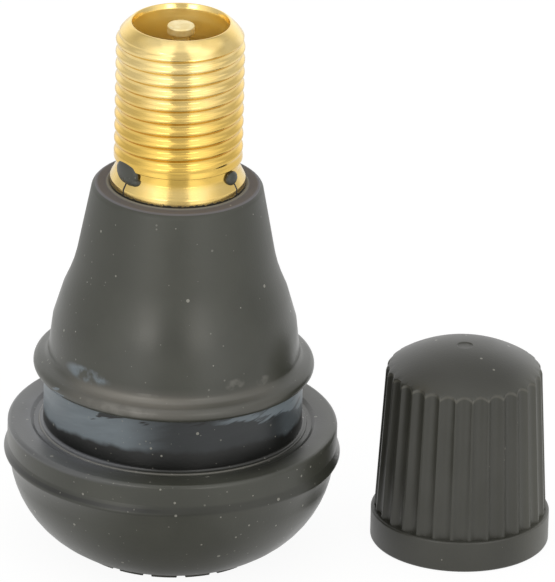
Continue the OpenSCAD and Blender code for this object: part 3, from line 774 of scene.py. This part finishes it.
# Spring.
# Round steel wire wound into a helix, closed at both ends, which stands on the barrel's ledge
# round the pin. It shortens as the pin goes down.
spring_low, spring_high = (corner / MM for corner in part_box("core_spring"))
wire_r = 0.14
coil_r = spring_high.x - wire_r
spring_turns = 7.5
wire_sides = 12
wire_steps = round(36 * spring_turns)
closed_rise = 0.31
coil_low_z = spring_low.z + wire_r
coil_high_z = spring_high.z - wire_r


def wire_z(turn):
    """Height of the wire's centre after a number of turns, with one closed turn at each end."""
    open_turns = spring_turns - 2
    open_rise = (coil_high_z - coil_low_z - 2 * closed_rise) / open_turns
    rises = (min(turn, 1), min(max(turn - 1, 0), open_turns), max(turn - 1 - open_turns, 0))
    return coil_low_z + closed_rise * (rises[0] + rises[2]) + open_rise * rises[1]


bpy.ops.object.select_all(action="DESELECT")
bpy.ops.mesh.primitive_circle_add(vertices=wire_sides, radius=wire_r)
spring = bpy.context.object
spring.name = "spring_wire"
bpy.ops.object.mode_set(mode="EDIT")
bpy.ops.mesh.select_all(action="SELECT")
bpy.ops.transform.rotate(value=math.pi / 2, orient_axis="X", center_override=(0, 0, 0))
bpy.ops.transform.translate(value=(coil_r, 0, 0))
bpy.ops.object.mode_set(mode="OBJECT")
winding = spring.modifiers.new("winding", "SCREW")
winding.axis = "Z"
winding.angle = math.tau * spring_turns
winding.screw_offset = spring_turns
winding.steps = wire_steps
winding.render_steps = wire_steps
bpy.ops.object.modifier_apply(modifier="winding")
bpy.ops.object.mode_set(mode="EDIT")
bpy.ops.mesh.select_all(action="SELECT")
bpy.ops.mesh.remove_doubles(threshold=NEAR)
bpy.ops.mesh.select_all(action="DESELECT")
bpy.ops.mesh.select_non_manifold()
bpy.ops.mesh.edge_face_add()
bpy.ops.mesh.select_all(action="SELECT")
bpy.ops.mesh.normals_make_consistent(inside=False)
bpy.ops.object.mode_set(mode="OBJECT")
for i, vertex in enumerate(spring.data.vertices):
    ring_turn = i // wire_sides * spring_turns / wire_steps
    vertex.co.z += wire_z(ring_turn) - ring_turn
finished(spring, crease=50)

# Drawn spring steel: grey, with fine lines along the wire and a light oil sheen
spring_finish, tree, shader, place = new_finish("drawn_steel_wire")
draw_mm = 0.06
drawn = add_node(tree, "TexNoise", place, named={"Scale": 1 / draw_mm, "Detail": 2.0})
wire_colour = add_node(tree, "MixRGB", drawn, linear("#a9adb0"), linear("#cfd2d4"))
tree.links.new(wire_colour, shader.inputs["Base Color"])
shader.inputs["Metallic"].default_value = 1.0
wire_rough = add_node(tree, "MapRange", drawn, 0.3, 0.7, 0.24, 0.36, **EASED)
tree.links.new(wire_rough, shader.inputs["Roughness"])
spring.data.materials.append(spring_finish)
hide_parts("core_spring")
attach(spring, "barrel")
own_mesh(spring)


# Dust cap.
# One moulding of black plastic that screws over the pump thread. The wall has hollow flutes for the
# fingers between narrow ribs, a plain rim below and a low bare dome above.
cap_low, cap_high = (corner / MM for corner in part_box("dust_cap"))
cap_axis = Vector(((cap_low.x + cap_high.x) / 2, (cap_low.y + cap_high.y) / 2, cap_low.z))
cap_h = cap_high.z - cap_low.z
cap_rim_r = (cap_high.x - cap_low.x) / 2
cap_rim_h = 1.97
cap_foot_r = 5.18
cap_top_r = 4.7
cap_wall_h = 11.05
cap_shoulder_r = 0.45
flute_count = 30
flute_r = 0.6
flute_depth = 0.2
flute_top = cap_wall_h + 0.25
cap_bore_r = mount("cap_bore")["dims"]["r_mm"]
cap_bore_h = 8.6
cap_mouth_edge = 0.35
cap_recess_r = 3.1
cap_recess_h = 1.5
gate_r = 0.5
gate_depth = 0.06

dome_h = cap_h - cap_wall_h
dome_arc_r = (cap_top_r**2 + dome_h**2) / (2 * dome_h)
dome_edge = math.degrees(math.acos(cap_top_r / dome_arc_r))
dome = arc((0, cap_h - dome_arc_r), dome_arc_r, dome_edge, 90, step=0.7)
dome = [point for point in dome if gate_r + 0.05 < point[0] < cap_top_r - cap_shoulder_r]
gate_z = cap_h - dome_arc_r + math.sqrt(dome_arc_r**2 - gate_r**2)


def wall_r(z):
    """Radius of the cap's wall at a height, between the flutes."""
    return cap_foot_r + (cap_top_r - cap_foot_r) * (z - cap_rim_h) / (cap_wall_h - cap_rim_h)


wall_foot = (cap_foot_r, cap_rim_h)
bore_mouth = (cap_bore_r, cap_mouth_edge)
cap_outline = [
    (cap_bore_r + cap_mouth_edge, 0),
    (cap_rim_r, 0, 0.18),
    (cap_rim_r, cap_rim_h, 0.12),
    wall_foot,
    (cap_top_r, cap_wall_h, cap_shoulder_r),
    *dome,
    (gate_r, gate_z, 0.03),
    (gate_r - 0.06, gate_z - gate_depth, 0.03),
    (0, gate_z - gate_depth),
    (0, cap_bore_h + cap_recess_h),
    (cap_recess_r, cap_bore_h + cap_recess_h, 0.4),
    (cap_recess_r, cap_bore_h),
    (cap_bore_r, cap_bore_h),
    bore_mouth,
]
flute_columns = 16
wall_rows = 5
wall_reach = 0.3
cap_rows_per_turn = 10
cap_rows = round((cap_bore_h - cap_mouth_edge) / thread_pitch * cap_rows_per_turn)
cap = turned(
    "cap_moulding",
    cap_outline,
    flute_count * flute_columns,
    {wall_foot: wall_rows, (cap_bore_r, cap_bore_h): cap_rows},
)
flute_pitch = math.tau / flute_count
flute_centre = flute_r - flute_depth
cap_thread_depth = 0.3
for vertex in cap.data.vertices:
    x, y, z = vertex.co
    radius = math.hypot(x, y)
    angle = math.atan2(y, x)
    if cap_rim_h - NEAR < z < flute_top and wall_r(z) - wall_reach < radius < cap_foot_r + NEAR:
        off = (angle / flute_pitch - math.floor(angle / flute_pitch) - 0.5) * flute_pitch * radius
        hollow = max(math.sqrt(max(flute_r**2 - off**2, 0)) - flute_centre, 0)
        set_radius(vertex, min(radius, wall_r(z) - hollow))
    elif cap_mouth_edge < z < cap_bore_h and abs(radius - cap_bore_r) < NEAR:
        turns = z / thread_pitch - angle / math.tau
        fade = smooth((z - cap_mouth_edge) / thread_pitch) * smooth((cap_bore_h - z) / thread_pitch)
        set_radius(vertex, radius - cap_thread_depth * fade * thread_height(turns))
for vertex in cap.data.vertices:
    vertex.co += cap_axis
finished(cap, crease=30)

# Moulded black polypropylene: satin, a little greyer than the rubber, with a few specks of dust. Painted
# shade darkens the dome and the left side, painted light pales the right side, and painted highlights lie
# along the ends of the flutes.
cap_finish, tree, shader, place = new_finish("moulded_black_plastic")
cloud = add_node(tree, "TexNoise", place, named={"Scale": 1 / cloud_mm, "Detail": 4.0})
cloud = add_node(tree, "MapRange", cloud, 0.3, 0.7, **EASED)
grain = add_node(tree, "TexNoise", place, named={"Scale": 1 / grain_mm, "Detail": 2.0})
cap_colour = add_node(tree, "MixRGB", cloud, linear("#42423b"), linear("#494943"))
from_cap = add_node(tree, "VectorMath", place, tuple(-cap_axis), operation="ADD")
axes = add_node(tree, "SeparateXYZ", from_cap).node.outputs
round_cap = add_node(tree, "Math", axes["Y"], axes["X"], operation="ARCTAN2")
round_cap = add_node(tree, "Math", round_cap, 1 / flute_pitch, operation="MULTIPLY")
off_flute = add_node(tree, "Math", round_cap, operation="FRACT")
off_flute = add_node(tree, "Math", off_flute, 2.0, -1.0, operation="MULTIPLY_ADD")
off_flute = add_node(tree, "Math", off_flute, off_flute, operation="MULTIPLY")
# Painted shade darkens the left side and the dome, and painted light pales the right side
for share, edge, colour in (
    (0.6, (axes["X"], -0.3 * cap_rim_r, -cap_rim_r), "#2a2a26"),
    (0.6, (axes["X"], 0.5 * cap_rim_r, cap_rim_r), "#6a6a60"),
    (0.28, (axes["Z"], cap_wall_h + 0.2, cap_wall_h + 0.8), "#30302b"),
):
    cap_colour = add_node(tree, "MixRGB", inside(tree, share, edge), cap_colour, linear(colour))
# Painted highlight along the arched ends of the flutes
flute_arch = 0.22
flute_end_z = cap_wall_h + 0.04
off_end = add_node(tree, "Math", off_flute, flute_arch, axes["Z"], operation="MULTIPLY_ADD")
off_end = add_node(tree, "Math", off_end, flute_end_z, operation="SUBTRACT")
off_end = add_node(tree, "Math", off_end, operation="ABSOLUTE")
flute_end_highlight = inside(tree, 0.4, (off_end, 0.14, 0.02))
cap_colour = add_node(tree, "MixRGB", flute_end_highlight, cap_colour, linear("#7a786e"))
cap_dust_share = 0.6
dust = specks(tree, place, spacing_mm=0.9, chosen=0.6, size_mm=0.1)
dust = add_node(tree, "Math", dust, cap_dust_share, operation="MULTIPLY")
cap_colour = add_node(tree, "MixRGB", dust, cap_colour, linear("#a9a79c"))
tree.links.new(cap_colour, shader.inputs["Base Color"])
cap_rough = add_node(tree, "MapRange", cloud, 0.0, 1.0, 0.36, 0.44)
tree.links.new(cap_rough, shader.inputs["Roughness"])
grain_relief = {"Height": grain, "Strength": 0.3, "Distance": 0.02 * MM}
grain_bump = add_node(tree, "Bump", named=grain_relief)
tree.links.new(grain_bump, shader.inputs["Normal"])
cap.data.materials.append(cap_finish)
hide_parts("dust_cap")
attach(cap, "valve_body")


# Floor and light.
# A sheet of white paper under the object, in a white tent that opens towards the viewer. A bright
# sheet and a softbox stand at either side of the opening, and one softbox hangs above.
floor_front = -38
floor_back = 500
floor_side = 450
bpy.ops.object.select_all(action="DESELECT")
bpy.ops.mesh.primitive_plane_add(size=1)
floor = bpy.context.object
floor.name = "paper_floor"
floor.scale = (2 * floor_side, floor_back - floor_front, 1)
floor.location = (0, (floor_back + floor_front) / 2, stand_z)
bpy.ops.object.transform_apply(location=True, rotation=True, scale=True)
finished(floor, crease=30)

# White paper: to the eye it runs into the tent without an edge. The object mirrors it darker close in
# front of its foot, where it shades the paper.
paper = bpy.data.materials.new("white_paper")
paper.use_nodes = True
tree = paper.node_tree
tree.nodes.clear()
ray = add_node(tree, "LightPath").node.outputs
seen = add_node(tree, "Math", ray["Is Camera Ray"], ray["Is Transmission Ray"], operation="ADD")
paper_white = 0.8
seen = add_node(tree, "Math", seen, paper_white, operation="MULTIPLY")
spot = add_node(tree, "TexCoord").node.outputs["Object"]
shade_at = (0, 13, 0)
shade_scale = (1.5 / MM, 1 / MM, 0)
shade_core = 3.0
shade_reach = 17.0
shade_white = 0.15
spot = add_node(tree, "Mapping", spot, shade_at, named={"Scale": shade_scale})
from_shade = add_node(tree, "VectorMath", spot, operation="LENGTH").node.outputs["Value"]
mirrored = add_node(
    tree,
    "MapRange",
    from_shade,
    shade_core,
    shade_reach,
    shade_white,
    paper_white,
    **EASED,
)
seen = add_node(tree, "Math", ray["Is Glossy Ray"], mirrored, seen, operation="MULTIPLY_ADD")
matt = add_node(tree, "BsdfDiffuse", linear("#d6d6d4"))
paper_glow = 1.16
glow = add_node(tree, "Emission", (1, 1, 1, 1), paper_glow)
mixed = add_node(tree, "MixShader", seen, matt, glow)
add_node(tree, "OutputMaterial", mixed)
floor.data.materials.append(paper)

# The tent is an even white to the eye. In the metal it shows as bright sheets with the darker opening
# between them, dim sides, a dim top with a pale canopy, and the dark edge of the table.
world = bpy.data.worlds.new("white_tent")
bpy.context.scene.world = world
world.use_nodes = True
tree = world.node_tree
tree.nodes.clear()
tent_light = 0.54
back_light = 1.35
side_light = 0.77
sheet_light = 1.64
opening_light = 0.78
toward = add_node(tree, "SeparateXYZ", add_node(tree, "TexCoord")).node.outputs
front = add_node(tree, "Math", toward["Y"], -1.0, operation="MULTIPLY")
aside = add_node(tree, "Math", toward["X"], front, operation="ARCTAN2")
aside = add_node(tree, "Math", aside, operation="DEGREES")
mirrored = back_light - tent_light
for start, end, change in (
    (-147.0, -117.0, side_light - back_light),
    (-90.0, -32.0, sheet_light - side_light),
    (-19.0, -14.0, opening_light - sheet_light),
    (18.0, 24.0, sheet_light - opening_light),
    (32.0, 90.0, side_light - sheet_light),
    (117.0, 147.0, back_light - side_light),
):
    step = add_node(tree, "MapRange", aside, start, end, 0.0, change, **EASED)
    mirrored = add_node(tree, "Math", step, mirrored, operation="ADD")
sheet_lift = 0.4
top_share = 0.3
ahead = add_node(tree, "MapRange", front, 0.0, sheet_lift, 0.0, sheet_lift, **EASED)
sheet_top = add_node(tree, "Math", toward["Z"], ahead, operation="SUBTRACT")
overhead = add_node(tree, "MapRange", sheet_top, 0.4, 0.75, 1.0, top_share, **EASED)
mirrored = add_node(tree, "Math", mirrored, overhead, operation="MULTIPLY")
canopy = add_node(tree, "MapRange", aside, -40.0, 40.0, 0.3, 0.6)
off_front = add_node(tree, "Math", aside, operation="ABSOLUTE")
canopy_front = (off_front, 40.0, 60.0)
canopy_back = (off_front, 125.0, 105.0)
canopy_foot = (toward["Z"], 0.55, 0.7)
canopy_top = (toward["Z"], 0.95, 0.85)
canopy = inside(tree, canopy, canopy_front, canopy_back, canopy_foot, canopy_top)
mirrored = add_node(tree, "Math", mirrored, canopy, operation="ADD")
table_dark = -0.12
table_edge = inside(tree, table_dark, (toward["Z"], -0.1, -0.34))
mirrored = add_node(tree, "Math", mirrored, table_edge, operation="ADD")
ray = add_node(tree, "LightPath").node.outputs
seen = add_node(tree, "Math", ray["Is Camera Ray"], ray["Is Transmission Ray"], operation="ADD")
strength = add_node(tree, "Math", seen, 1 - tent_light, tent_light, operation="MULTIPLY_ADD")
strength = add_node(tree, "Math", mirrored, ray["Is Glossy Ray"], strength, operation="MULTIPLY_ADD")
tent = add_node(tree, "Background", (1, 1, 1, 1), strength)
add_node(tree, "OutputWorld", tent)

lit_point = Vector((6, 0, 6)) * MM


def softbox(name, angle, lift, distance, wide, tall, power, colour):
    """A lamp behind a diffusing sheet, at an angle from the front and a lift, in degrees."""
    turn, rise = math.radians(angle), math.radians(lift)
    aim = Vector((math.sin(turn) * math.cos(rise), -math.cos(turn) * math.cos(rise), math.sin(rise)))
    bpy.ops.object.select_all(action="DESELECT")
    bpy.ops.object.light_add(type="AREA", location=lit_point + aim * distance * MM)
    lamp = bpy.context.object
    lamp.name = name
    lamp.rotation_euler = aim.to_track_quat("Z", "Y").to_euler()
    lamp.data.shape = "RECTANGLE"
    lamp.data.size = wide * MM
    lamp.data.size_y = tall * MM
    lamp.data.energy = power
    lamp.data.color = linear(colour)[:3]
    lamp.visible_camera = False


softbox(
    "softbox_left",
    angle=-28,
    lift=17,
    distance=260,
    wide=90,
    tall=60,
    power=0.06,
    colour="#fffaf2",
)
softbox(
    "softbox_right",
    angle=24,
    lift=17,
    distance=260,
    wide=90,
    tall=60,
    power=0.05,
    colour="#fffaf2",
)
softbox(
    "softbox_top",
    angle=0,
    lift=84,
    distance=300,
    wide=260,
    tall=260,
    power=0.08,
    colour="#ffffff",
)


# Camera.
# A long lens from the front, a little above the object, tilted as the photograph is.
camera_lift = math.radians(23.6)
camera_roll = math.radians(1.45)
camera_distance = 700
camera_target = Vector((6.1175, 0.131, 8.4435))
bpy.ops.object.select_all(action="DESELECT")
bpy.ops.object.camera_add()
camera = bpy.context.object
camera.data.lens = 723.1
camera.data.sensor_width = 36
camera.data.clip_start = 0.01
away = Vector((0, -math.cos(camera_lift), math.sin(camera_lift))) * camera_distance
camera.matrix_world = (
    Matrix.Translation((camera_target + away) * MM)
    @ Matrix.Rotation(math.pi / 2 - camera_lift, 4, "X")
    @ Matrix.Rotation(camera_roll, 4, "Z")
)
bpy.context.scene.camera = camera
bpy.context.scene.view_settings.view_transform = "Standard"
